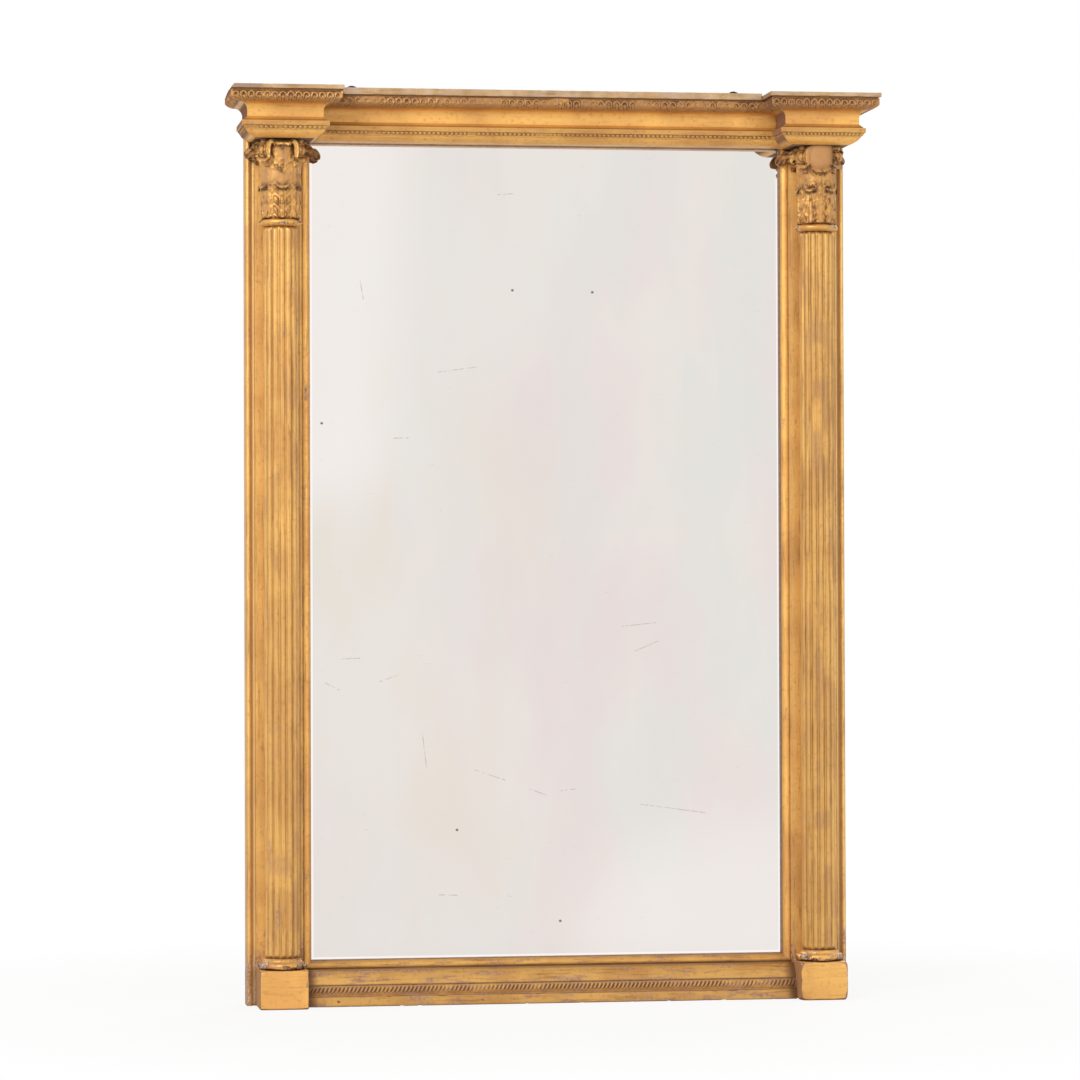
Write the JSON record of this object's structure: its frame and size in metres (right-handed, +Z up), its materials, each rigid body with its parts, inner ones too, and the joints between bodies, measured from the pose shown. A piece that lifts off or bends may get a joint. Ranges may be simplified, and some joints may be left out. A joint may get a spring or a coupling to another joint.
{
  "type": "pier mirror",
  "caption": "Tall giltwood pier mirror: reeded Corinthian columns under a breakfront cornice frame an old mirror plate.",
  "frame": {"origin": "middle of the bottom edge of the flat back that goes against the wall", "axes": "+X to the viewer's right, +Y into the wall, +Z up; the glass and columns face -Y"},
  "size_m": [0.935, 0.1465, 1.318],
  "materials": {
    "stile_gilt": "worn water gilding over bole",
    "slip_gilt": "worn water gilding over bole",
    "column_gilt": "worn water gilding over bole and gesso",
    "capital_gilt": "worn gilding on carved gesso, dark in the hollows",
    "moulding_gilt": "burnished water gilding",
    "ornament_gilt": "worn gilding on moulded ornament",
    "patch_gesso": "bronze-toned filler",
    "cap_gilt": "worn gilding, dusty",
    "foot_gilt": "worn gilding with gesso showing",
    "pine": "aged and unfinished",
    "backboard_pine": "aged and unfinished",
    "mirror_glass": "old plate with light foxing",
    "silvering": "aged silvering",
    "iron": "dark and lightly rusted"
  },
  "bodies": {
    "root": {"stile_left": "stile_gilt", "stile_right": "stile_gilt", "top_rail": "pine", "bottom_rail": "pine", "corner_pegs": "pine", "slip_left": "slip_gilt", "slip_right": "slip_gilt", "slip_top": "slip_gilt", "slip_bottom": "slip_gilt", "mirror_glass": "mirror_glass", "silvering": "silvering", "glass_wedges": "pine", "backboard_1": "backboard_pine", "backboard_2": "backboard_pine", "backboard_3": "backboard_pine", "backboard_4": "backboard_pine", "backboard_nails": "iron", "plinth_left": "column_gilt", "plinth_right": "column_gilt", "column_base_left": "column_gilt", "column_base_right": "column_gilt", "shaft_left": "column_gilt", "shaft_right": "column_gilt", "astragal_left": "column_gilt", "astragal_right": "column_gilt", "capital_left": "capital_gilt", "capital_right": "capital_gilt", "column_dowels": "pine", "cornice_beam": "pine", "break_block_left": "pine", "break_block_right": "pine", "architrave_centre": "moulding_gilt", "architrave_left": "moulding_gilt", "architrave_right": "moulding_gilt", "bead_strip_centre": "ornament_gilt", "bead_strip_left": "ornament_gilt", "bead_strip_right": "ornament_gilt", "cove_centre": "moulding_gilt", "cove_left": "moulding_gilt", "cove_right": "moulding_gilt", "leaf_strip_centre": "ornament_gilt", "leaf_strip_left": "ornament_gilt", "leaf_strip_right": "ornament_gilt", "leaf_strip_patch": "patch_gesso", "cap_centre": "cap_gilt", "cap_left": "cap_gilt", "cap_right": "cap_gilt", "foot_moulding": "foot_gilt", "foot_bead_strip": "foot_gilt", "foot_fillet": "foot_gilt", "carcass_screws": "iron", "hanging_plate_left": "iron", "hanging_plate_right": "iron", "plate_screws": "iron"}
  },
  "joints": []
}
